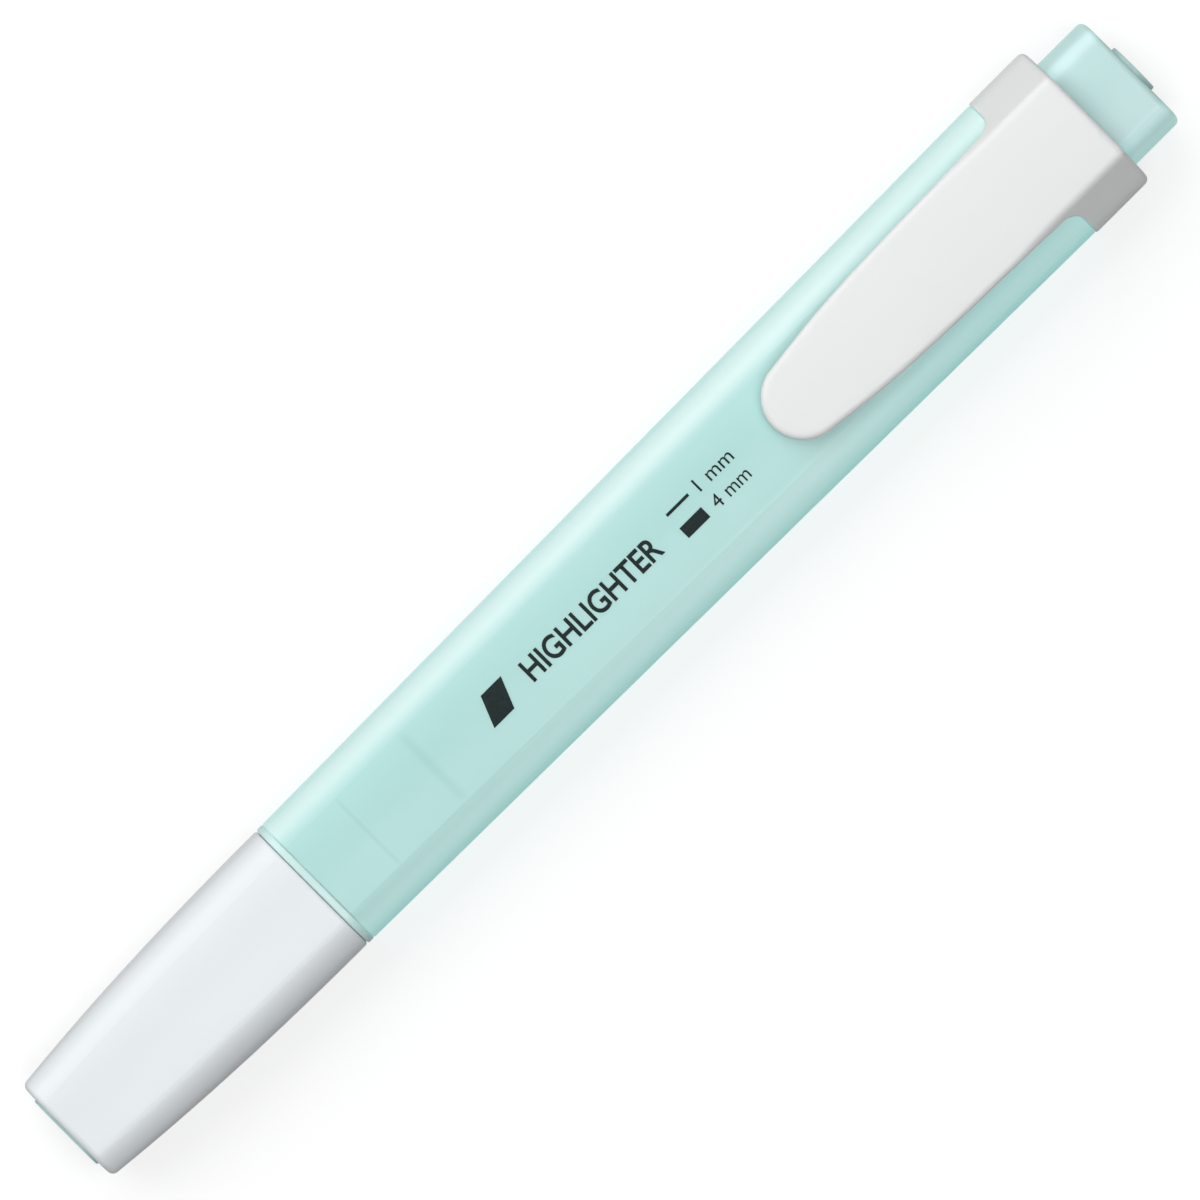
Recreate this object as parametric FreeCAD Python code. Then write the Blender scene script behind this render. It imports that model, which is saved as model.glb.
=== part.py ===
import FreeCAD, Part
import math
import os

# A slim pocket highlighter lying on the flat land of its underside, with its clip upwards.
# Frame: +X runs along the pen from the capped nib to the tail, +Y to the side, +Z up, in millimetres.
# The origin is the centre of the bottom of the bounding box.

V = FreeCAD.Vector

# ---------------------------------------------------------------- driving dimensions
OVERALL_LENGTH = 139.0
CAP_LENGTH = 32.05            # from the liner's end plate to the mouth
COLLAR_LENGTH = 7.0
STUB_LENGTH = 5.79            # the tail stub, behind the clip's collar
CLIP_LENGTH = 33.8            # from the collar's front face to the blade's tip
CLIP_HEIGHT = 14.64           # the clip's top above the surface that the pen lies on
BODY_HALF_HEIGHT = 6.0
LAND_DEPTH = 0.26             # how much of the crowned underside the flat land takes away
CAP_MOUTH_HALF_WIDTH = 7.29
SEAM_HALF_WIDTH = 7.32        # barrel at the seam with the cap
TAIL_HALF_WIDTH = 8.22        # barrel at the clip's collar
COLLAR_HALF_WIDTH = 8.35
BODY_CORNER = 3.4             # radius of the body's four long corners
RESERVOIR_RADIUS = 4.8

# cap shell
CAP_WALL = 0.75
CAP_END_WALL = 1.0
CAP_DROP = 1.42               # how far the cap's sides draw in at its closed end
CAP_DROP_POWER = 2.3
CAP_CORNER_SHARE = 0.35       # the corners tighten by this share of the drop
CAP_SECTIONS = 7
CAP_END_ROUND = 0.62
CAP_MOUTH_ROUND = 0.3
CAP_BORE_GAP = 0.1            # between the cap's bore and the seat that it slides on
CAP_DEEP_RELIEF = 0.1         # how much wider the bore is behind the liner's flange
CAP_STEP_RELIEF = 0.2         # and how much right at the flange
CAP_GROOVE_DEPTH = 0.12
LINER_STEP_DEPTH = 11.05      # from the mouth to the step that the liner's flange seats on

# cap liner
END_PLATE_PROUD = 0.25        # the liner's end plate stands this far out of the cap
END_PLATE_GAP_SIDE = 0.05     # air around the end plate at its sides
END_PLATE_GAP = 0.3           # and above and below it
END_PLATE_ROUND = 0.12
LINER_WALL = 0.75
LINER_CLOSED_WALL = 0.9
LINER_FLANGE = 0.8
LINER_PRESS_GAP = 0.04        # between the flange and the cap's bore
NOSE_GAP = 0.04               # between the liner's bore and the nose
NOTCH_RADIUS = 1.1            # the air notches in the flange's corners
NOTCH_Y = 5.9
NOTCH_Z = 4.4

# front section
FLANGE_GAP = 0.05             # between the cap's mouth and the flange
FLANGE_THICKNESS = 0.75
FLANGE_ROUND = 0.18
SKIRT_LENGTH = 6.5            # the part that is pressed into the barrel
SKIRT_PRESS_GAP = 0.02
SKIRT_CHAMFER = 0.3
SEAT_TO_LINER = 0.05          # between the end of the cap's seat and the liner's flange
SEAT_ROUND = 0.45
SEAT_WALL = 1.1
SEAT_END_WALL = 1.2
BEAD_FROM_MOUTH = 4.2         # the snap bead that holds the cap
BEAD_HEIGHT = 0.07
BEAD_HALF_LENGTH = 0.6
NOSE_LAND_LENGTH = 3.2        # the parallel part of the nose, which the liner seals on
NOSE_CONE_LENGTH = 4.6
NOSE_ROUND = 0.35
NIB_TUBE_WALL_Y = 0.9
NIB_TUBE_WALL_Z = 0.8
NIB_TUBE_CORNER = 1.2
NIB_TUBE_SHORT = 2.0          # the tube ends this far before the flange

# nib
NIB_HALF_WIDTH = 2.45
NIB_HALF_THICKNESS = 1.65
NIB_CORNER = 0.55
NIB_GAP = 0.02
NIB_REACH = 6.5               # how far the nib stands out of the nose
NIB_WEDGE_LENGTH = 4.4
NIB_EDGE_HALF = 0.5           # half the thickness of its writing edge
NIB_SLANT = 2.7               # how far the writing edge slants back across the nib's width
NIB_TAIL_DEPTH = 6.0          # how deep its tail runs into the reservoir
NIB_POCKET_GAP = 0.01

# reservoir and barrel
FILM = 0.1
WALL = 1.1                    # barrel wall
MOUTH_RELIEF = 0.1            # the barrel's bore is this much wider around its mouth
MOUTH_RELIEF_LENGTH = 15.0
BARREL_EDGE_ROUND = 0.15
RESERVOIR_TO_COLLAR = 1.4
RIB_HALF_THICKNESS = 0.4
RIB_GAP = 0.05                # between the barrel's two ribs and the reservoir
STUB_ROUND = 0.6
STUB_WALL = 1.35
GATE_PAD_HEIGHT = 0.46        # the round pad on the stub's end
GATE_PAD_RADIUS = 2.6
GATE_PAD_ROUND = 0.15

# clip
COLLAR_REAR_WALL = 1.35
COLLAR_GAP = 0.05             # between the collar's bore and the barrel's neck
STUB_GAP = 0.06               # between the collar's rear window and the stub
COLLAR_CORNER = 0.9           # rounds the clip's top into the collar's facets
COLLAR_CORNER_Y = 4.35
COLLAR_FLANK = 8.0            # radius of the arc from a facet down to the collar's side
COLLAR_REAR_ROUND = 0.6
SNAP_HEIGHT = 0.14            # the ring on the barrel's neck that holds the collar
SNAP_HALF_LENGTH = 0.6
SNAP_GAP = 0.01
GROOVE_EXTRA = 0.2            # a snap groove is longer than its bead by this much each way
CLIP_CROWN = 40.0             # radius of the clip's crowned top, across its width
CLIP_TIP_RADIUS = 3.95
TIP_TANGENT = math.radians(7.4)  # where the tip's arc hands over to the side's curve
ROOT_FLARE = math.radians(4.5)
ROOT_HALF_WIDTH = 5.64
ROOT_FILLET = 1.0
ROOT_LENGTH = 1.9             # the fixed root of the blade, ahead of the collar
ROOT_UNDERSIDE_Z = 12.94
SLIT = 0.2                    # across the blade's flexing root
BLADE_ROUND = 0.6
# the blade's plan as (from the tip, half width)
BLADE_WIDTHS = [(9.5, 4.62), (17.0, 5.07), (26.5, 5.30), (CLIP_LENGTH, ROOT_HALF_WIDTH)]
# the blade's thickness as (from the tip, top, underside)
BLADE_LEVELS = [(0.0, 13.35, 12.05), (17.5, 14.35, 12.85), (CLIP_LENGTH, CLIP_HEIGHT, ROOT_UNDERSIDE_Z)]
BUMP_FROM_TIP = 4.0           # the rounded bump that grips paper
BUMP_RADIUS = 1.5
BUMP_HALF_WIDTH = 3.0
BUMP_CLEARANCE = 0.12         # between the bump and the barrel's crown

JOIN = 0.3                    # solids that are fused run this far into each other
PAST = 1.0                    # solids that cut run this far past what they cut

# ---------------------------------------------------------------- stations along X
CAP_END_X = -OVERALL_LENGTH / 2
CAP_SHELL_END_X = CAP_END_X + END_PLATE_PROUD
CAP_INNER_END_X = CAP_SHELL_END_X + CAP_END_WALL
CAP_MOUTH_X = CAP_END_X + CAP_LENGTH
LINER_STEP_X = CAP_MOUTH_X - LINER_STEP_DEPTH
LINER_MOUTH_X = LINER_STEP_X + LINER_FLANGE
SEAT_END_X = LINER_MOUTH_X + SEAT_TO_LINER
BEAD_X = CAP_MOUTH_X - BEAD_FROM_MOUTH
NOSE_CONE_X = SEAT_END_X - NOSE_LAND_LENGTH
NOSE_TIP_X = NOSE_CONE_X - NOSE_CONE_LENGTH
NIB_TIP_X = NOSE_TIP_X - NIB_REACH
FLANGE_X = CAP_MOUTH_X + FLANGE_GAP
BARREL_X = FLANGE_X + FLANGE_THICKNESS
SKIRT_END_X = BARREL_X + SKIRT_LENGTH
NIB_TAIL_X = SKIRT_END_X + NIB_TAIL_DEPTH
RELIEF_END_X = BARREL_X + MOUTH_RELIEF_LENGTH
TAIL_X = OVERALL_LENGTH / 2
STUB_END_X = TAIL_X - GATE_PAD_HEIGHT
COLLAR_REAR_X = STUB_END_X - STUB_LENGTH
COLLAR_X = COLLAR_REAR_X - COLLAR_LENGTH
NECK_END_X = COLLAR_REAR_X - COLLAR_REAR_WALL
SNAP_X = (COLLAR_X + NECK_END_X) / 2
RESERVOIR_END_X = COLLAR_X - RESERVOIR_TO_COLLAR
SLIT_X = COLLAR_X - ROOT_LENGTH
CLIP_TIP_X = COLLAR_X - CLIP_LENGTH
AXIS_Z = BODY_HALF_HEIGHT - LAND_DEPTH
BARREL_TOP_Z = AXIS_Z + BODY_HALF_HEIGHT


# ---------------------------------------------------------------- oval sections
def around(centre_y, centre_z, radius, angle):
    return centre_y + radius * math.cos(angle), centre_z + radius * math.sin(angle)


class Oval:
    """A soft rectangle of eight tangent arcs: crowned top and bottom, bowed sides and four corners."""

    def __init__(self, half_width, half_height, corner, crown=24.0, side=12.0):
        self.half_width, self.half_height = half_width, half_height
        self.corner, self.crown, self.side = corner, crown, side

    def inset(self, depth):
        """The section a constant depth inside this one; a negative depth lies outside it."""
        return Oval(self.half_width - depth, self.half_height - depth, self.corner - depth,
                    self.crown - depth, self.side - depth)

    def tangent_points(self):
        """Where a corner arc meets the crown, its own middle, and where it meets the side."""
        crown_z, side_y = self.half_height - self.crown, self.half_width - self.side
        to_crown, to_side = self.crown - self.corner, self.side - self.corner
        gap = math.hypot(side_y, crown_z)
        along = (to_crown**2 - to_side**2 + gap**2) / (2 * gap)
        across = math.sqrt(to_crown**2 - along**2)
        unit_y, unit_z = side_y / gap, -crown_z / gap
        centre_y = unit_y * along + unit_z * across
        centre_z = crown_z + unit_z * along - unit_y * across
        crown_angle = math.atan2(centre_z - crown_z, centre_y)
        side_angle = math.atan2(centre_z, centre_y - side_y)
        angles = (crown_angle, (crown_angle + side_angle) / 2, side_angle)
        return [around(centre_y, centre_z, self.corner, angle) for angle in angles]

    def wire(self, x):
        (crown_y, crown_z), (middle_y, middle_z), (side_y, side_z) = self.tangent_points()

        def at(y, z):
            return V(x, y, AXIS_Z + z)

        arcs = [(at(-crown_y, crown_z), at(0, self.half_height), at(crown_y, crown_z)),
                (at(crown_y, crown_z), at(middle_y, middle_z), at(side_y, side_z)),
                (at(side_y, side_z), at(self.half_width, 0), at(side_y, -side_z)),
                (at(side_y, -side_z), at(middle_y, -middle_z), at(crown_y, -crown_z)),
                (at(crown_y, -crown_z), at(0, -self.half_height), at(-crown_y, -crown_z)),
                (at(-crown_y, -crown_z), at(-middle_y, -middle_z), at(-side_y, -side_z)),
                (at(-side_y, -side_z), at(-self.half_width, 0), at(-side_y, side_z)),
                (at(-side_y, side_z), at(-middle_y, middle_z), at(-crown_y, crown_z))]
        return Part.Wire([section_edge(points) for points in arcs])


SEAM = Oval(SEAM_HALF_WIDTH, BODY_HALF_HEIGHT, BODY_CORNER)
COLLAR = Oval(COLLAR_HALF_WIDTH, BODY_HALF_HEIGHT, BODY_CORNER)
POST = Oval(6.46, 4.88, 2.4)     # both the cap's seat and the tail stub, so the cap fits either
NECK = Oval(7.05, 5.05, 2.6)     # the barrel inside the clip's collar
CAP_BORE = POST.inset(-CAP_BORE_GAP)
END_PLATE = Oval(4.1, 2.9, 2.2)
END_WINDOW = Oval(END_PLATE.half_width + END_PLATE_GAP_SIDE, END_PLATE.half_height + END_PLATE_GAP, 2.4)
NOSE_LAND = Oval(4.85, 4.0, 2.6)
NOSE_TIP = Oval(3.35, 2.6, 1.5)
LINER_BORE = NOSE_LAND.inset(-NOSE_GAP)
LINER_END_BORE = Oval(3.55, 2.75, 1.9)
NIB_TAIL_ROOT = Oval(2.2, 1.5, 0.9, 12.0, 8.0)
NIB_TAIL_MIDDLE = Oval(1.9, 1.4, 0.9, 12.0, 8.0)
NIB_TAIL_END = Oval(1.3, 1.1, 0.9, 12.0, 8.0)


def cap_section(x):
    """The cap's outer section at x: parallel at its mouth, drawing in towards its closed end."""
    share = (CAP_MOUTH_X - x) / (CAP_MOUTH_X - CAP_SHELL_END_X)
    drop = CAP_DROP * share**CAP_DROP_POWER
    return Oval(CAP_MOUTH_HALF_WIDTH - drop, BODY_HALF_HEIGHT - drop, BODY_CORNER - CAP_CORNER_SHARE * drop)


def barrel_section(x):
    """The barrel's outer section, whose width grows evenly from the seam to the collar."""
    share = (x - BARREL_X) / (COLLAR_X - BARREL_X)
    half_width = SEAM_HALF_WIDTH + (TAIL_HALF_WIDTH - SEAM_HALF_WIDTH) * share
    return Oval(half_width, BODY_HALF_HEIGHT, BODY_CORNER)


# ---------------------------------------------------------------- small tools
def section_edge(points):
    """A line through two points, or an arc through three."""
    return (Part.Arc(*points) if len(points) == 3 else Part.LineSegment(*points)).toShape()


def loft(stations, ruled=False):
    """A solid through sections given as (x, Oval)."""
    return Part.makeLoft([oval.wire(x) for x, oval in stations], True, ruled)


def prism(oval, x0, x1):
    return Part.Face(oval.wire(x0)).extrude(V(x1 - x0, 0, 0))


def bead(oval, x, half_length, height):
    """A ring around an oval bar at x that rises to height and falls again."""
    return loft([(x - half_length, oval), (x, oval.inset(-height)), (x + half_length, oval)], True)


def slab(outline, direction):
    """A closed polygon of points, extruded."""
    return Part.Face(Part.makePolygon(outline + outline[:1])).extrude(direction)


def box(x0, x1, y0, y1, z0, z1):
    return Part.makeBox(x1 - x0, y1 - y0, z1 - z0, V(x0, y0, z0))


def along_axis(radius, x0, x1):
    return Part.makeCylinder(radius, x1 - x0, V(x0, 0, AXIS_Z), V(1, 0, 0))


def rounded_bar(x0, x1, half_width, half_height, corner):
    """A bar of rounded rectangular section along X, on the pen's axis."""
    bar = box(x0, x1, -half_width, half_width, AXIS_Z - half_height, AXIS_Z + half_height)
    lengthwise = [e for e in bar.Edges if e.BoundBox.XLength > e.BoundBox.YLength + e.BoundBox.ZLength]
    return bar.makeFillet(corner, lengthwise)


def edges_at(shape, x, tolerance=1e-4):
    """The edges that lie in the plane at x."""
    near = [e for e in shape.Edges if abs(e.BoundBox.XMin - x) < tolerance]
    return [e for e in near if abs(e.BoundBox.XMax - x) < tolerance]


def on_the_land(shape):
    """The shape with everything below the flat land cut away."""
    bounds = shape.BoundBox
    return shape.cut(box(bounds.XMin - PAST, bounds.XMax + PAST, bounds.YMin - PAST, bounds.YMax + PAST,
                         bounds.ZMin - PAST, 0.0))


# ---------------------------------------------------------------- cap
def cap_shell():
    step = (CAP_MOUTH_X - CAP_SHELL_END_X) / (CAP_SECTIONS - 1)
    stations = [CAP_MOUTH_X - step * i for i in range(CAP_SECTIONS)]
    shell = loft([(x, cap_section(x)) for x in stations])
    shell = shell.makeFillet(CAP_END_ROUND, edges_at(shell, CAP_SHELL_END_X))
    shell = shell.makeFillet(CAP_MOUTH_ROUND, edges_at(shell, CAP_MOUTH_X))
    middle_x = (LINER_STEP_X + CAP_INNER_END_X) / 2
    deep = loft([(LINER_STEP_X, cap_section(LINER_STEP_X).inset(CAP_WALL + CAP_STEP_RELIEF)),
                 (middle_x, cap_section(middle_x).inset(CAP_WALL + CAP_DEEP_RELIEF)),
                 (CAP_INNER_END_X, cap_section(CAP_INNER_END_X).inset(CAP_WALL + CAP_DEEP_RELIEF))])
    bore = prism(CAP_BORE, LINER_STEP_X, CAP_MOUTH_X + PAST)
    window = prism(END_WINDOW, CAP_SHELL_END_X - PAST, CAP_INNER_END_X + JOIN)
    groove = bead(CAP_BORE, BEAD_X, BEAD_HALF_LENGTH + GROOVE_EXTRA, CAP_GROOVE_DEPTH)
    return on_the_land(shell.cut(bore.fuse([deep, window])).cut(groove))


def cap_liner():
    """The inner cap: it seals on the nose, and its closed end shows in the end of the cap."""
    tube = loft([(LINER_MOUTH_X, LINER_BORE.inset(-LINER_WALL)), (NOSE_CONE_X, LINER_BORE.inset(-LINER_WALL)),
                 (CAP_INNER_END_X, LINER_END_BORE.inset(-LINER_WALL))], True)
    flange = prism(CAP_BORE.inset(LINER_PRESS_GAP), LINER_STEP_X, LINER_MOUTH_X)
    for side in (-1, 1):
        for level in (-1, 1):
            corner = V(LINER_STEP_X - PAST, side * NOTCH_Y, AXIS_Z + level * NOTCH_Z)
            flange = flange.cut(Part.makeCylinder(NOTCH_RADIUS, LINER_FLANGE + 2 * PAST, corner, V(1, 0, 0)))
    plate = prism(END_PLATE, CAP_END_X, CAP_INNER_END_X + JOIN)
    plate = plate.makeFillet(END_PLATE_ROUND, edges_at(plate, CAP_END_X))
    bore = loft([(LINER_MOUTH_X + PAST, LINER_BORE), (NOSE_CONE_X, LINER_BORE),
                 (CAP_INNER_END_X + LINER_CLOSED_WALL, LINER_END_BORE)], True)
    return tube.fuse([flange, plate]).cut(bore).removeSplitter()


# ---------------------------------------------------------------- front section and nib
def front_section():
    """Flange, skirt, cap seat and nose in one moulding, hollow around the nib's tube."""
    flange = prism(SEAM, FLANGE_X, BARREL_X)
    flange = flange.makeFillet(FLANGE_ROUND, edges_at(flange, FLANGE_X) + edges_at(flange, BARREL_X))
    skirt = prism(SEAM.inset(WALL - MOUTH_RELIEF + SKIRT_PRESS_GAP), BARREL_X - JOIN, SKIRT_END_X)
    skirt = skirt.makeChamfer(SKIRT_CHAMFER, edges_at(skirt, SKIRT_END_X))
    seat = prism(POST, SEAT_END_X, FLANGE_X + JOIN)
    seat = seat.makeFillet(SEAT_ROUND, edges_at(seat, SEAT_END_X))
    snap = bead(POST, BEAD_X, BEAD_HALF_LENGTH, BEAD_HEIGHT)
    land = prism(NOSE_LAND, NOSE_CONE_X, SEAT_END_X + SEAT_ROUND)
    cone = loft([(NOSE_CONE_X, NOSE_LAND), (NOSE_TIP_X, NOSE_TIP)], True)
    cone = cone.makeFillet(NOSE_ROUND, edges_at(cone, NOSE_TIP_X))
    body = flange.fuse([skirt, seat, snap, land, cone])
    hollow = prism(POST.inset(SEAT_WALL), SEAT_END_X + SEAT_END_WALL, SKIRT_END_X + PAST)
    tube = rounded_bar(SEAT_END_X + SEAT_END_WALL / 2, FLANGE_X - NIB_TUBE_SHORT,
                       NIB_HALF_WIDTH + NIB_TUBE_WALL_Y, NIB_HALF_THICKNESS + NIB_TUBE_WALL_Z, NIB_TUBE_CORNER)
    bore = rounded_bar(NOSE_TIP_X - PAST, FLANGE_X, NIB_HALF_WIDTH + NIB_GAP, NIB_HALF_THICKNESS + NIB_GAP,
                       NIB_CORNER)
    return on_the_land(body.cut(hollow).fuse(tube).cut(bore))


def nib_tail(clearance):
    """The nib's tapered tail, which pierces the reservoir, or the pocket that it makes there."""
    return loft([(FLANGE_X - PAST, NIB_TAIL_ROOT.inset(-clearance)),
                 (SKIRT_END_X, NIB_TAIL_MIDDLE.inset(-clearance)),
                 (NIB_TAIL_X + clearance, NIB_TAIL_END.inset(-clearance))], True)


def nib():
    """A chisel nib: a wedge in its thickness, cut on the slant across its width."""
    bar = rounded_bar(NIB_TIP_X, FLANGE_X - PAST, NIB_HALF_WIDTH, NIB_HALF_THICKNESS, NIB_CORNER)
    rise = (NIB_HALF_THICKNESS - NIB_EDGE_HALF) / NIB_WEDGE_LENGTH
    before_x = NIB_TIP_X - PAST
    wedge_x = NIB_TIP_X + NIB_WEDGE_LENGTH
    clear_y = NIB_HALF_WIDTH + PAST
    clear_z = NIB_HALF_THICKNESS + PAST
    for side in (-1, 1):
        outline = [V(before_x, -clear_y, AXIS_Z + side * (NIB_EDGE_HALF - rise * PAST)),
                   V(wedge_x, -clear_y, AXIS_Z + side * NIB_HALF_THICKNESS),
                   V(wedge_x, -clear_y, AXIS_Z + side * clear_z),
                   V(before_x, -clear_y, AXIS_Z + side * clear_z)]
        bar = bar.cut(slab(outline, V(0, 2 * clear_y, 0)))
    back = NIB_SLANT / (2 * NIB_HALF_WIDTH) * PAST
    low_z = AXIS_Z - clear_z
    slant = [V(NIB_TIP_X - back, clear_y, low_z), V(NIB_TIP_X + NIB_SLANT + back, -clear_y, low_z),
             V(before_x, -clear_y, low_z), V(before_x, clear_y, low_z)]
    bar = bar.cut(slab(slant, V(0, 0, 2 * clear_z)))
    return bar.fuse(nib_tail(0.0)).removeSplitter()


# ---------------------------------------------------------------- reservoir
def reservoir_fibre():
    rod = along_axis(RESERVOIR_RADIUS - FILM, SKIRT_END_X, RESERVOIR_END_X)
    return rod.cut(nib_tail(NIB_POCKET_GAP))


def reservoir_film():
    tube = along_axis(RESERVOIR_RADIUS, SKIRT_END_X, RESERVOIR_END_X)
    return tube.cut(along_axis(RESERVOIR_RADIUS - FILM, SKIRT_END_X - PAST, RESERVOIR_END_X + PAST))


# ---------------------------------------------------------------- barrel
def barrel_outside():
    return loft([(BARREL_X, barrel_section(BARREL_X)), (COLLAR_X, barrel_section(COLLAR_X))], True)


def barrel_bore(end_x, depth):
    """The inside of the barrel's wall, from its open front to end_x."""
    return loft([(x, barrel_section(x).inset(depth)) for x in (BARREL_X - PAST, end_x)], True)


def barrel():
    """The long body with its necked tail and closed stub, and two ribs inside that guide the reservoir."""
    outside = barrel_outside()
    outside = outside.makeFillet(BARREL_EDGE_ROUND, edges_at(outside, BARREL_X) + edges_at(outside, COLLAR_X))
    neck = prism(NECK, COLLAR_X - JOIN, NECK_END_X)
    snap = bead(NECK, SNAP_X, SNAP_HALF_LENGTH, SNAP_HEIGHT)
    stub = prism(POST, NECK_END_X - JOIN, STUB_END_X)
    stub = stub.makeFillet(STUB_ROUND, edges_at(stub, STUB_END_X))
    pad = along_axis(GATE_PAD_RADIUS, STUB_END_X - JOIN, TAIL_X)
    pad = pad.makeFillet(GATE_PAD_ROUND, edges_at(pad, TAIL_X))
    shell = outside.fuse([neck, snap, stub, pad])
    bore = barrel_bore(RESERVOIR_END_X, WALL).fuse(barrel_bore(RELIEF_END_X, WALL - MOUTH_RELIEF))
    tail_bore = prism(POST.inset(STUB_WALL), RESERVOIR_END_X - PAST, STUB_END_X - STUB_WALL)
    shell = shell.cut(bore).cut(tail_bore)
    for side in (-1, 1):
        near, far = sorted((side * (RESERVOIR_RADIUS + RIB_GAP), side * (TAIL_HALF_WIDTH - WALL / 2)))
        rib = box(RELIEF_END_X, RESERVOIR_END_X, near, far,
                  AXIS_Z - RIB_HALF_THICKNESS, AXIS_Z + RIB_HALF_THICKNESS)
        shell = shell.fuse(rib.common(barrel_outside()))
    return on_the_land(shell)


# ---------------------------------------------------------------- clip
def blade_thickness(x0, x1):
    """The clip's thickness from x0 to x1: a crowned top over a plain underside, wider than the blade."""
    reach = TAIL_HALF_WIDTH

    def ring(x, top, underside):
        edge = top - CLIP_CROWN + math.sqrt(CLIP_CROWN**2 - reach**2)
        crown = section_edge([V(x, -reach, edge), V(x, 0, top), V(x, reach, edge)])
        rest = Part.makePolygon([V(x, reach, edge), V(x, reach, underside), V(x, -reach, underside),
                                 V(x, -reach, edge)])
        return Part.Wire([crown] + rest.Edges)

    rings = [ring(CLIP_TIP_X + s, top, underside) for s, top, underside in BLADE_LEVELS]
    whole = Part.makeLoft(rings, True, False)
    return whole.common(box(x0, x1, -reach - PAST, reach + PAST, 0, 2 * CLIP_HEIGHT))


def blade_plan():
    """The clip seen from above, from its tip to the collar's front face, as a tall prism."""
    def mirrored(point):
        return V(point.x, -point.y, point.z)

    def side(points, first_tangent, last_tangent):
        curve = Part.BSplineCurve()
        curve.interpolate(Points=points, InitialTangent=first_tangent, FinalTangent=last_tangent)
        return curve.toShape()

    tip_y = CLIP_TIP_RADIUS * math.cos(TIP_TANGENT)
    tip_end = V(CLIP_TIP_X + CLIP_TIP_RADIUS * (1 - math.sin(TIP_TANGENT)), tip_y, 0)
    left = [tip_end] + [V(CLIP_TIP_X + s, half_width, 0) for s, half_width in BLADE_WIDTHS]
    root = left[-1]
    leaving = V(math.cos(TIP_TANGENT), math.sin(TIP_TANGENT), 0)
    arriving = V(math.cos(ROOT_FLARE), math.sin(ROOT_FLARE), 0)
    right = [mirrored(point) for point in reversed(left)]
    edges = [section_edge([mirrored(tip_end), V(CLIP_TIP_X, 0, 0), tip_end]), side(left, leaving, arriving),
             section_edge([root, mirrored(root)]), side(right, -mirrored(arriving), -mirrored(leaving))]
    return Part.Face(Part.Wire(edges)).extrude(V(0, 0, 2 * CLIP_HEIGHT))


def rim_edges(blade):
    """The edges around the blade's top, apart from the one at its root."""
    tip_top = BLADE_LEVELS[0][1]
    level = (ROOT_UNDERSIDE_Z + tip_top) / 2
    rim = []
    for edge in blade.Edges:
        bounds = edge.BoundBox
        middle = edge.valueAt((edge.FirstParameter + edge.LastParameter) / 2)
        if bounds.ZLength < bounds.XLength and edge.Length > SLIT and middle.z > level:
            rim.append(edge)
    return rim


def clip_blade():
    blade = blade_plan().common(blade_thickness(CLIP_TIP_X - PAST, SLIT_X - SLIT))
    blade = blade.makeFillet(BLADE_ROUND, rim_edges(blade))
    bump_x = CLIP_TIP_X + BUMP_FROM_TIP
    bump_z = BARREL_TOP_Z + BUMP_CLEARANCE + BUMP_RADIUS
    bump_end = V(bump_x, -BUMP_HALF_WIDTH, bump_z)
    bump = Part.makeCylinder(BUMP_RADIUS, 2 * BUMP_HALF_WIDTH, bump_end, V(0, 1, 0))
    lower_part = box(bump_x - BUMP_RADIUS, bump_x + BUMP_RADIUS, -BUMP_HALF_WIDTH, BUMP_HALF_WIDTH,
                     0, ROOT_UNDERSIDE_Z)
    return blade.fuse(bump.common(lower_part))


def collar_wire(x):
    """The collar's outer section: the barrel's oval below, and facets rising to the clip's top above."""
    (crown_y, crown_z), (middle_y, middle_z), (side_y, side_z) = COLLAR.tangent_points()
    top_z = CLIP_HEIGHT - AXIS_Z
    crown_centre_z = top_z - CLIP_CROWN
    corner_z = crown_centre_z + math.sqrt((CLIP_CROWN - COLLAR_CORNER)**2 - COLLAR_CORNER_Y**2)
    flank_y = COLLAR_HALF_WIDTH - COLLAR_FLANK
    away = math.hypot(COLLAR_CORNER_Y - flank_y, corner_z)
    facing = math.atan2(corner_z, COLLAR_CORNER_Y - flank_y)
    facing -= math.acos((COLLAR_FLANK - COLLAR_CORNER) / away)
    crown_angle = math.atan2(corner_z - crown_centre_z, COLLAR_CORNER_Y)
    low_centre_y = COLLAR_HALF_WIDTH - COLLAR.side

    def at(y, z):
        return V(x, y, AXIS_Z + z)

    edge = around(0, crown_centre_z, CLIP_CROWN, crown_angle)
    corner = around(COLLAR_CORNER_Y, corner_z, COLLAR_CORNER, (crown_angle + facing) / 2)
    facet_top = around(COLLAR_CORNER_Y, corner_z, COLLAR_CORNER, facing)
    facet_foot = around(flank_y, 0, COLLAR_FLANK, facing)
    flank = around(flank_y, 0, COLLAR_FLANK, facing / 2)
    widest = (COLLAR_HALF_WIDTH, 0)
    low_side = around(low_centre_y, 0, COLLAR.side, math.atan2(-side_z, side_y - low_centre_y) / 2)
    half = [(edge, corner, facet_top), (facet_top, facet_foot), (facet_foot, flank, widest),
            (widest, low_side, (side_y, -side_z)),
            ((side_y, -side_z), (middle_y, -middle_z), (crown_y, -crown_z))]
    edges = [section_edge([at(-edge[0], edge[1]), at(0, top_z), at(*edge)])]
    edges += [section_edge([at(*point) for point in piece]) for piece in half]
    edges += [section_edge([at(crown_y, -crown_z), at(0, -COLLAR.half_height), at(-crown_y, -crown_z)])]
    edges += [section_edge([at(-y, z) for y, z in reversed(piece)]) for piece in reversed(half)]
    return Part.Wire(edges)


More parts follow.
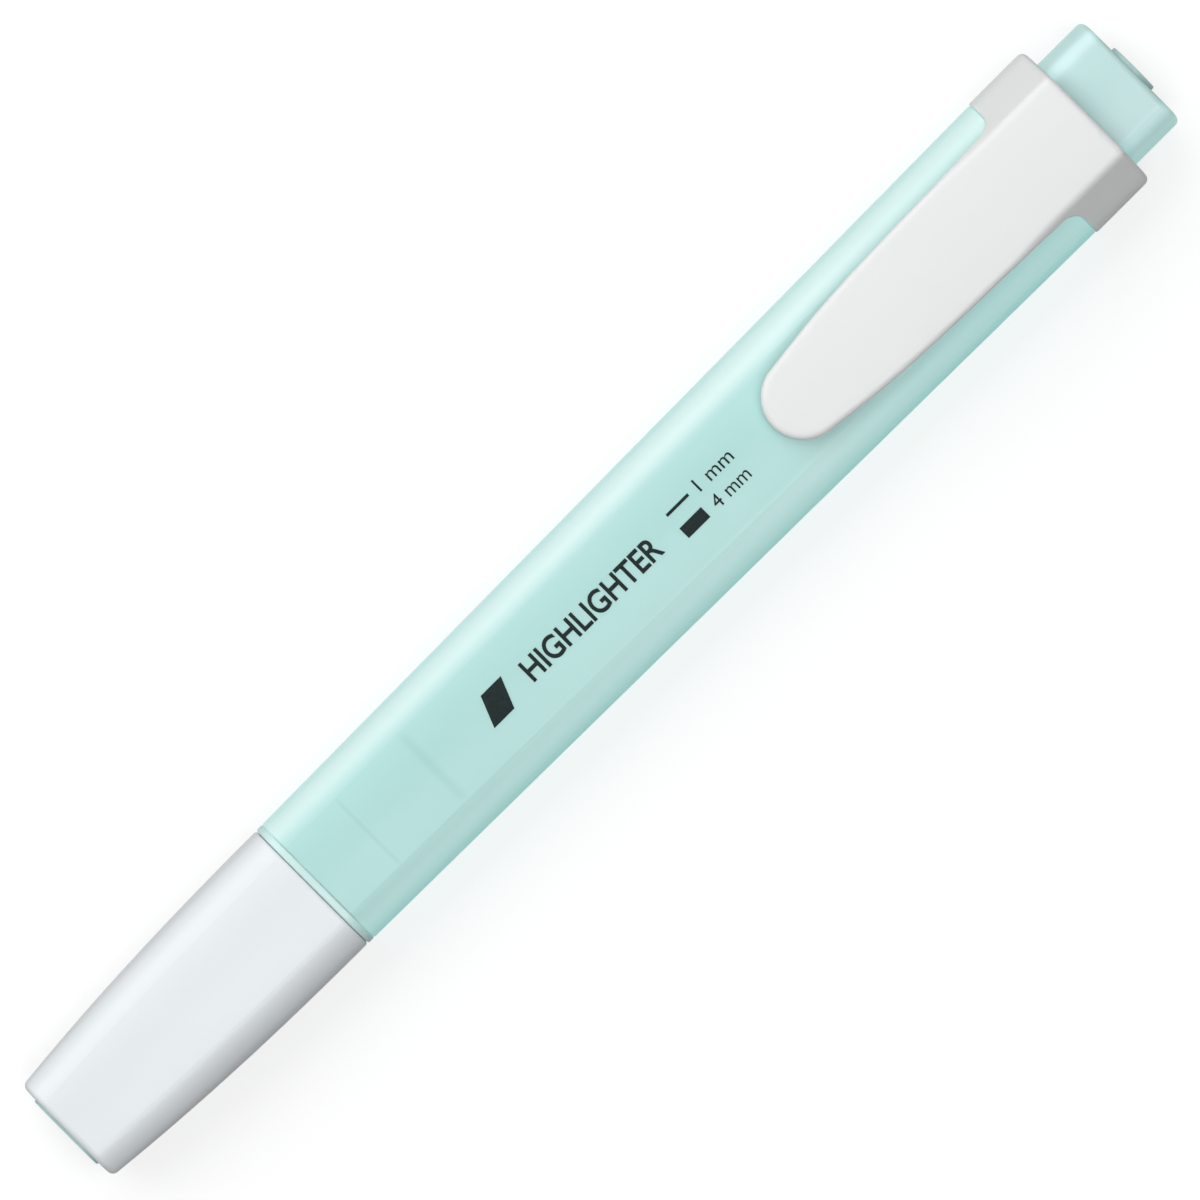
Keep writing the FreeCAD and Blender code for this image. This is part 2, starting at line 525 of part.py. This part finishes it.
def root_plan():
    """The strip ahead of the collar where its front face sweeps out of the blade's edges."""
    x0, x1 = COLLAR_X - ROOT_FILLET, COLLAR_X
    y0, y1 = ROOT_HALF_WIDTH, ROOT_HALF_WIDTH + ROOT_FILLET
    bend = ROOT_FILLET * (1 - math.sqrt(0.5))
    z = AXIS_Z + BODY_HALF_HEIGHT / 2
    outline = [section_edge([V(x0, -y0, z), V(x0, y0, z)]),
               section_edge([V(x0, y0, z), V(x1 - bend, y0 + bend, z), V(x1, y1, z)]),
               section_edge([V(x1, y1, z), V(x1, -y1, z)]),
               section_edge([V(x1, -y1, z), V(x1 - bend, -y0 - bend, z), V(x0, -y0, z)])]
    return Part.Face(Part.Wire(outline)).extrude(V(0, 0, 2 * CLIP_HEIGHT))


def clip_collar():
    """The collar around the barrel's neck, with the fixed root of the blade."""
    ring = Part.Face(collar_wire(COLLAR_X)).extrude(V(COLLAR_LENGTH, 0, 0))
    ring = ring.makeFillet(COLLAR_REAR_ROUND, edges_at(ring, COLLAR_REAR_X))
    ahead = Part.Face(collar_wire(SLIT_X)).extrude(V(ROOT_LENGTH, 0, 0))
    gusset = root_plan().common(ahead)
    reach = COLLAR_HALF_WIDTH + PAST
    root = blade_plan().common(ahead)
    root = root.common(box(SLIT_X, COLLAR_X, -reach, reach, ROOT_UNDERSIDE_Z, CLIP_HEIGHT + PAST))
    body = ring.fuse([gusset, root]).cut(barrel_outside())
    loose_neck = NECK.inset(-COLLAR_GAP)
    bore = prism(loose_neck, COLLAR_X - PAST, NECK_END_X + COLLAR_GAP)
    groove = bead(loose_neck, SNAP_X, SNAP_HALF_LENGTH + GROOVE_EXTRA, SNAP_HEIGHT + SNAP_GAP)
    window = prism(POST.inset(-STUB_GAP), NECK_END_X - PAST, COLLAR_REAR_X + PAST)
    return on_the_land(body.cut(bore).cut(groove).cut(window))


# ---------------------------------------------------------------- the parts
def main():
    parts = {"cap_shell": cap_shell, "cap_liner": cap_liner, "front_section": front_section, "nib": nib,
             "reservoir_fibre": reservoir_fibre, "reservoir_film": reservoir_film, "barrel": barrel,
             "clip_collar": clip_collar, "clip_blade": clip_blade}
    os.makedirs("parts", exist_ok=True)
    for name, make in parts.items():
        shape = make()
        print(name, "valid", shape.isValid(), "solids", len(shape.Solids), "mm3", round(shape.Volume, 1))
        shape.exportStep(f"parts/{name}.step")


main()
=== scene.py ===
"""A slim pocket highlighter lying on a pale table with its clip upwards."""
import math

import bmesh
import bpy
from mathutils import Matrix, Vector


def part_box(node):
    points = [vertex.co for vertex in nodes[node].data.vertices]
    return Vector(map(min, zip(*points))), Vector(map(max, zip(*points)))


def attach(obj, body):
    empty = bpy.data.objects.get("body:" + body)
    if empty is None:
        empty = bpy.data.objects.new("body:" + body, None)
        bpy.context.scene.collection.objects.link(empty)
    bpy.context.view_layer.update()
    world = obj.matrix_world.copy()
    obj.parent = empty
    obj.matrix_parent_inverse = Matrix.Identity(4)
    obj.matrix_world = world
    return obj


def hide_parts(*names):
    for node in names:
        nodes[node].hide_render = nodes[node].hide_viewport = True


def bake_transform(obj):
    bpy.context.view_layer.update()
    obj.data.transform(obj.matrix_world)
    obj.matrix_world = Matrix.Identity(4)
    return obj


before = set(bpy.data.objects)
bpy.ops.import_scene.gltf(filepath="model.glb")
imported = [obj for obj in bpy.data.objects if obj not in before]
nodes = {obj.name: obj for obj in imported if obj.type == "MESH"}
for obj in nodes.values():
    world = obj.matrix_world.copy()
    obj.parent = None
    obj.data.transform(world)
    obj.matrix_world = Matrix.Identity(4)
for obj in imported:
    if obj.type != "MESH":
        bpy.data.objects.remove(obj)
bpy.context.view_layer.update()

MM = 0.001
rod_low, rod_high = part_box("reservoir_film")
ROD_RADIUS = rod_high.y
AXIS_Z = (rod_low.z + rod_high.z) / 2             # the pen's axis above the table
SKIRT_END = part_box("front_section")[1].x
COLLAR_FRONT, COLLAR_REAR = (corner.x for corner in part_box("clip_collar"))
BARREL_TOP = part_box("barrel")[1].z
CROWN = 24.0 * MM                                 # radius of the barrel's crowned top, across its width


# ---------------------------------------------------------------- node tools
class Nodes:
    """A material's node tree, with short ways to add arithmetic and textures."""

    def __init__(self, name):
        self.material = bpy.data.materials.new(name)
        self.material.use_nodes = True
        self.tree = self.material.node_tree
        self.shader = self.tree.nodes["Principled BSDF"]
        self.coords = self.tree.nodes.new("ShaderNodeTexCoord").outputs["Object"]

    def put(self, value, socket):
        if isinstance(value, bpy.types.NodeSocket):
            self.tree.links.new(value, socket)
        else:
            socket.default_value = value

    def math(self, operation, *values):
        node = self.tree.nodes.new("ShaderNodeMath")
        node.operation = operation
        for value, socket in zip(values, node.inputs):
            self.put(value, socket)
        return node.outputs[0]

    def axes(self):
        """The coordinates along the pen, across it and upwards, in metres."""
        split = self.tree.nodes.new("ShaderNodeSeparateXYZ")
        self.tree.links.new(self.coords, split.inputs[0])
        return split.outputs

    def ramp(self, value, low, high):
        """0 up to low, 1 from high, smooth between."""
        node = self.tree.nodes.new("ShaderNodeMapRange")
        node.interpolation_type = "SMOOTHSTEP"
        self.put(value, node.inputs["Value"])
        node.inputs["From Min"].default_value = low
        node.inputs["From Max"].default_value = high
        return node.outputs["Result"]

    def band(self, value, centre, half_width):
        """1 at the centre, falling smoothly to 0 at half_width either side."""
        away = self.math("ABSOLUTE", self.math("SUBTRACT", value, centre))
        return self.math("SUBTRACT", 1.0, self.ramp(away, 0.0, half_width))

    def mix(self, factor, a, b):
        """Colour a where the factor is 0 and colour b where it is 1."""
        node = self.tree.nodes.new("ShaderNodeMix")
        node.data_type = "RGBA"
        self.put(factor, node.inputs["Factor"])
        for value, name in ((a, "A"), (b, "B")):
            socket = next(s for s in node.inputs if s.name == name and s.type == "RGBA")
            self.put(value if isinstance(value, bpy.types.NodeSocket) else (*value, 1.0), socket)
        return next(s for s in node.outputs if s.type == "RGBA")

    def noise(self, scale, detail=2.0, stretch=(1.0, 1.0, 1.0), roughness=0.5):
        """Noise of about one feature per 1/scale metres."""
        mapping = self.tree.nodes.new("ShaderNodeMapping")
        mapping.inputs["Scale"].default_value = stretch
        self.tree.links.new(self.coords, mapping.inputs["Vector"])
        node = self.tree.nodes.new("ShaderNodeTexNoise")
        self.tree.links.new(mapping.outputs[0], node.inputs["Vector"])
        node.inputs["Scale"].default_value = scale
        node.inputs["Detail"].default_value = detail
        node.inputs["Roughness"].default_value = roughness
        return node.outputs["Fac"]

    def spread(self, value, low, high):
        """Takes a value from 0 to 1 to one from low to high."""
        node = self.tree.nodes.new("ShaderNodeMapRange")
        self.put(value, node.inputs["Value"])
        node.inputs["To Min"].default_value = low
        node.inputs["To Max"].default_value = high
        return node.outputs["Result"]

    def bump(self, height, depth, strength=1.0):
        node = self.tree.nodes.new("ShaderNodeBump")
        node.inputs["Strength"].default_value = strength
        node.inputs["Distance"].default_value = depth
        self.put(height, node.inputs["Height"])
        self.tree.links.new(node.outputs[0], self.shader.inputs["Normal"])

    def set(self, **values):
        """Sets the shader's sockets, so that base_color is its Base Color."""
        for name, value in values.items():
            socket = self.shader.inputs[name.replace("_", " ").title().replace("Ior", "IOR")]
            if isinstance(value, tuple) and socket.type == "RGBA":
                value = (*value, 1.0)
            self.put(value, socket)


def moulded(name, tint, shade, roughness=(0.34, 0.46), subsurface=0.0, scatter=1.0 * MM):
    """Moulded plastic: two close tints in soft clouds, uneven gloss and the mould's fine texture."""
    clouds_per_metre, gloss_per_metre, grain_per_metre = 120.0, 420.0, 9000.0
    grain_depth = 0.0003 * MM
    n = Nodes(name)
    clouds = n.ramp(n.noise(clouds_per_metre, 3.0, (0.35, 1.0, 1.0)), 0.3, 0.7)
    n.set(base_color=n.mix(clouds, tint, shade), roughness=n.spread(n.noise(gloss_per_metre), *roughness))
    n.bump(n.noise(grain_per_metre, 3.0, roughness=0.6), grain_depth)
    if subsurface:
        n.set(subsurface_weight=subsurface, subsurface_scale=scatter)
        n.shader.inputs["Subsurface Radius"].default_value = (1.0, 1.0, 1.0)
    return n


def paint(obj, material):
    obj.data.materials.clear()
    obj.data.materials.append(material)


# ---------------------------------------------------------------- materials
NO_GLOW = (0.0, 0.0, 0.0)


def inner_edges_painted_shade(n, x, aside):
    """Where the front section's skirt and the barrel's ribs show through the plastic over them, drawn as
    painted shade.
    """
    skirt = n.math("MULTIPLY", n.band(x, SKIRT_END, 0.3 * MM), 0.18)
    ribs = n.math("MULTIPLY", n.band(x, SKIRT_END + 8.45 * MM, 0.8 * MM), 0.17)
    over_rod = n.math("SUBTRACT", 1.0, n.ramp(aside, ROD_RADIUS - 1.2 * MM, ROD_RADIUS - 0.2 * MM))
    return n.math("MULTIPLY", n.math("MAXIMUM", skirt, ribs), over_rod)


def tail_stub_painted_light(n, aside):
    """The colour of the empty tail with painted light: paler over its side walls' thickness and greener at its
    rims, with a painted glow for light that passes through them.
    """
    # Painted light: the wall bands are paler and the rims glow, though the tail is no lamp.
    wall = n.band(aside, 4.9 * MM, 1.3 * MM)
    rim = n.ramp(aside, 5.2 * MM, 5.9 * MM)
    colour = n.mix(wall, (0.50, 0.705, 0.69), (0.54, 0.60, 0.60))
    colour = n.mix(rim, colour, (0.26, 0.26, 0.255))
    glow = n.mix(wall, NO_GLOW, (0.06, 0.22, 0.215))
    glow = n.mix(rim, glow, (0.23, 0.43, 0.415))
    return colour, glow


def tinted_barrel():
    """Tinted translucent plastic: deeper over the ink reservoir, with painted light and a painted glow at its
    sides, where no reservoir lies behind the wall, for light that passes through it.
    """
    n = moulded("tinted_barrel", (0.435, 0.70, 0.668), (0.42, 0.685, 0.653), (0.285, 0.38), subsurface=0.25)
    x, y = n.axes()[:2]
    aside = n.math("ABSOLUTE", y)
    colour = n.shader.inputs["Base Color"].links[0].from_socket
    # Painted light: the sides beyond the reservoir are paler and glow, standing in for light that passes
    # through the plastic.
    painted_light_sides = n.ramp(aside, ROD_RADIUS - 0.65 * MM, ROD_RADIUS + 1.5 * MM)
    colour = n.mix(painted_light_sides, colour, (0.60, 0.54, 0.54))
    # Painted shade: darker lines where the skirt's end and the ribs show through the wall.
    colour = n.mix(inner_edges_painted_shade(n, x, aside), colour, (0.20, 0.45, 0.40))
    glow = n.mix(painted_light_sides, NO_GLOW, (0.055, 0.32, 0.295))
    stub_colour, stub_painted_glow = tail_stub_painted_light(n, aside)
    behind_collar = n.ramp(x, COLLAR_FRONT + 2.65 * MM, COLLAR_REAR - 2.25 * MM)
    n.set(base_color=n.mix(behind_collar, colour, stub_colour),
          emission_color=n.mix(behind_collar, glow, stub_painted_glow), emission_strength=1.0)
    return n.material


def white_cap():
    return moulded("white_cap", (0.76, 0.795, 0.815), (0.75, 0.785, 0.805), (0.285, 0.34), subsurface=0.15,
                   scatter=0.6 * MM).material


def white_clip():
    return moulded("white_clip", (0.772, 0.784, 0.78), (0.76, 0.773, 0.77), (0.38, 0.48), subsurface=0.15,
                   scatter=0.6 * MM).material


def tinted_liner():
    return moulded("tinted_liner", (0.50, 0.77, 0.725), (0.485, 0.75, 0.71), subsurface=0.3).material


def tinted_section():
    return moulded("tinted_section", (0.60, 0.81, 0.78), (0.58, 0.80, 0.77), (0.285, 0.36),
                   subsurface=0.3).material


def clear_film():
    return moulded("clear_film", (0.75, 0.88, 0.86), (0.70, 0.85, 0.83), (0.2, 0.3)).material


def felt(name, tint, shade):
    """Pressed fibres that run along the pen, matt and full of pores."""
    n = Nodes(name)
    fibres = n.noise(5200.0, 4.0, (0.12, 1.0, 1.0), 0.65)
    pores = n.noise(2600.0)
    n.set(base_color=n.mix(n.ramp(fibres, 0.35, 0.65), tint, shade), roughness=n.spread(pores, 0.75, 0.95),
          specular_ior_level=0.25)
    n.bump(n.math("ADD", fibres, n.math("MULTIPLY", pores, 0.5)), 0.015 * MM, 0.8)
    return n.material


def printed_ink():
    n = Nodes("printed_ink")
    worn = n.ramp(n.noise(2500.0, 4.0, roughness=0.7), 0.30, 0.75)
    n.set(base_color=n.mix(worn, (0.006, 0.016, 0.016), (0.012, 0.024, 0.024)),
          roughness=n.spread(n.noise(1500.0), 0.55, 0.7), specular_ior_level=0.2)
    n.bump(n.noise(7000.0), 0.0005 * MM)
    return n.material


def pale_floor():
    n = Nodes("pale_floor")
    n.set(base_color=n.mix(n.noise(6.0), (0.40, 0.40, 0.40), (0.39, 0.39, 0.39)), roughness=0.9,
          specular_ior_level=0.1, emission_color=(1.0, 1.0, 1.0), emission_strength=0.65)
    return n.material


clip_material = white_clip()
paint(nodes["barrel"], tinted_barrel())
paint(nodes["cap_shell"], white_cap())
paint(nodes["clip_collar"], clip_material)
paint(nodes["clip_blade"], clip_material)
paint(nodes["cap_liner"], tinted_liner())
paint(nodes["front_section"], tinted_section())
paint(nodes["nib"], felt("nib_felt", (0.20, 0.66, 0.56), (0.14, 0.55, 0.46)))
paint(nodes["reservoir_fibre"], felt("ink_fibre", (0.24, 0.68, 0.60), (0.18, 0.60, 0.52)))
paint(nodes["reservoir_film"], clear_film())


# ---------------------------------------------------------------- clip
def fused_clip_mesh():
    """The collar's and the blade's meshes in one, with the blade's root pushed into the collar."""
    root_length, root_shift = 0.5 * MM, 0.35 * MM
    bm = bmesh.new()
    bm.from_mesh(nodes["clip_collar"].data)
    collar = set(bm.verts)
    bm.from_mesh(nodes["clip_blade"].data)
    for v in bm.verts:
        if v not in collar and v.co.x > COLLAR_FRONT - root_length:
            v.co.x += root_shift
    mesh = bpy.data.meshes.new("clip")
    bm.to_mesh(mesh)
    bm.free()
    return mesh


def voxel_remesh(piece, relaxed=0):
    """Makes the mesh one even skin of small faces, and relaxes it that many times."""
    remesh = piece.modifiers.new("fuse", "REMESH")
    remesh.mode = "VOXEL"
    remesh.voxel_size = 0.16 * MM
    soften = piece.modifiers.new("soften", "SMOOTH")
    soften.factor = 0.5
    soften.iterations = relaxed
    bpy.context.view_layer.update()
    evaluated = piece.evaluated_get(bpy.context.evaluated_depsgraph_get())
    piece.data = bpy.data.meshes.new_from_object(evaluated)
    piece.modifiers.clear()


def ease_rim(clip):
    """Lowers the blade's rim, over its last stretch, to the sloping shoulder that the collar has behind it."""
    ease_length, above = 8.0 * MM, 1.0
    shoulder_start = COLLAR_FRONT + 0.15 * MM
    for v in clip.data.vertices:
        along = min(1.0, (v.co.x - shoulder_start) / ease_length + 1)
        if along > 0 and v.co.z > BARREL_TOP:
            start = Vector((shoulder_start, v.co.y, above))
            found, shoulder, _, _ = nodes["clip_collar"].ray_cast(start, Vector((0, 0, -1)))
            if found and shoulder.z < v.co.z:
                v.co.z += (shoulder.z - v.co.z) * along**2 * (3 - 2 * along)


def clip_piece():
    """The collar and blade as the one moulding they are, with every edge softly rounded."""
    clip = bpy.data.objects.new("clip", fused_clip_mesh())
    bpy.context.scene.collection.objects.link(clip)
    voxel_remesh(clip)
    ease_rim(clip)
    voxel_remesh(clip, relaxed=8)
    clip.data.shade_smooth()
    return clip


clip = clip_piece()
paint(clip, clip_material)
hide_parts("clip_collar", "clip_blade")
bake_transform(clip)


# ---------------------------------------------------------------- print on the barrel
def lay_on_barrel(bm, name):
    """Cuts the flat artwork into narrow strips along the pen and lays it on the barrel's crown."""
    strip, strips_each_side, ink_height = 0.25 * MM, 14, 0.015 * MM
    for i in range(-strips_each_side, strips_each_side + 1):
        everything = bm.verts[:] + bm.edges[:] + bm.faces[:]
        bmesh.ops.bisect_plane(bm, geom=everything, plane_co=(0, i * strip, 0), plane_no=(0, 1, 0))
    for v in bm.verts:
        v.co.z = BARREL_TOP - CROWN + math.sqrt(CROWN**2 - v.co.y**2) + ink_height
    for face in bm.faces:
        if face.normal.z < 0:
            face.normal_flip()
    mesh = bpy.data.meshes.new(name)
    bm.to_mesh(mesh)
    bm.free()
    obj = bpy.data.objects.new(name, mesh)
    bpy.context.scene.collection.objects.link(obj)
    return obj


def lettering(bm, text, left, width, base, height, weight=0.0):
    """Adds text to bm, fitted to a box on the barrel's top, in millimetres."""
    curve = bpy.data.curves.new("lettering", "FONT")
    curve.body = text
    curve.offset = weight
    curve.resolution_u = 6
    holder = bpy.data.objects.new("lettering", curve)
    bpy.context.scene.collection.objects.link(holder)
    bpy.context.view_layer.update()
    mesh = bpy.data.meshes.new_from_object(holder.evaluated_get(bpy.context.evaluated_depsgraph_get()))
    xs = [v.co.x for v in mesh.vertices]
    ys = [v.co.y for v in mesh.vertices]
    wide, tall = max(xs) - min(xs), max(ys) - min(ys)
    for v, x, y in zip(mesh.vertices, xs, ys):
        along = left + (x - min(xs)) / wide * width
        across = base + (y - min(ys)) / tall * height
        v.co = Vector((along * MM, across * MM, 0))
    bm.from_mesh(mesh)
    bpy.data.objects.remove(holder)


def bar(bm, left, width, base, height, lean=0.0):
    """Adds a bar to bm, in millimetres, whose upper edge leans that far along the pen."""
    right, top = left + width, base + height
    corners = [(left, base), (right, base), (right + lean, top), (left + lean, top)]
    bm.faces.new([bm.verts.new((x * MM, y * MM, 0)) for x, y in corners])


def artwork():
    """A slanted stroke, the plain word for the object, and the two widths of line that the nib draws."""
    bm = bmesh.new()
    lettering(bm, "HIGHLIGHTER", -9.6, 17.0, -1.15, 2.3, weight=0.018)
    bar(bm, -15.2, 2.6, -1.5, 3.0, lean=1.2)
    lettering(bm, "1 mm", 13.6, 4.4, 0.5, 1.35)
    lettering(bm, "4 mm", 13.6, 4.4, -1.8, 1.35)
    bar(bm, 9.8, 2.8, 1.0, 0.3)
    bar(bm, 9.8, 2.8, -1.75, 1.25)
    return lay_on_barrel(bm, "barrel_print")


ink = artwork()
paint(ink, printed_ink())
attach(ink, "body")


# ---------------------------------------------------------------- table, light and camera
def table_top():
    """A large pale table, a hair below the pen so that no two faces share a plane."""
    reach, z = 2.0, -0.02 * MM
    mesh = bpy.data.meshes.new("table_top")
    corners = [(-reach, -reach, z), (reach, -reach, z), (reach, reach, z), (-reach, reach, z)]
    mesh.from_pydata(corners, [], [(0, 1, 2, 3)])
    floor = bpy.data.objects.new("table_top", mesh)
    bpy.context.scene.collection.objects.link(floor)
    return floor


floor = table_top()
paint(floor, pale_floor())

# The table's own glow whitens the table and lights nothing else.
lit_by_table = bpy.data.collections.new("lit_by_table")
lit_by_table.objects.link(floor)
floor.light_linking.receiver_collection = lit_by_table

scene = bpy.context.scene
scene.view_settings.view_transform = "Standard"
world = bpy.data.worlds.new("studio")
scene.world = world
world.use_nodes = True
background = world.node_tree.nodes["Background"]
background.inputs["Color"].default_value = (0.97, 0.985, 1.0, 1.0)
background.inputs["Strength"].default_value = 0.25


def softbox(name, position, size, power):
    """A soft rectangular light that faces the pen."""
    light = bpy.data.lights.new(name, "AREA")
    light.shape = "RECTANGLE"
    light.size, light.size_y = size
    light.energy = power
    holder = bpy.data.objects.new(name, light)
    holder.location = position
    holder.rotation_euler = (-Vector(position)).to_track_quat("-Z", "Y").to_euler()
    scene.collection.objects.link(holder)


softbox("key", (0.0, 0.73, 0.68), (1.5, 1.2), 10.2)
softbox("overhead", (0.0, -0.36, 1.17), (1.0, 0.62), 6.2)


def overhead_camera():
    """Looks straight down from far off, with the pen across the picture from corner to corner."""
    view_width, turn = 110.54 * MM, -44.92
    data = bpy.data.cameras.new("camera")
    data.lens = 1000
    data.clip_end = 10
    camera = bpy.data.objects.new("camera", data)
    camera.location = (0.0, 0.0, AXIS_Z + view_width * data.lens / data.sensor_width)
    camera.rotation_euler = (0.0, 0.0, math.radians(turn))
    scene.collection.objects.link(camera)
    return camera


scene.camera = overhead_camera()
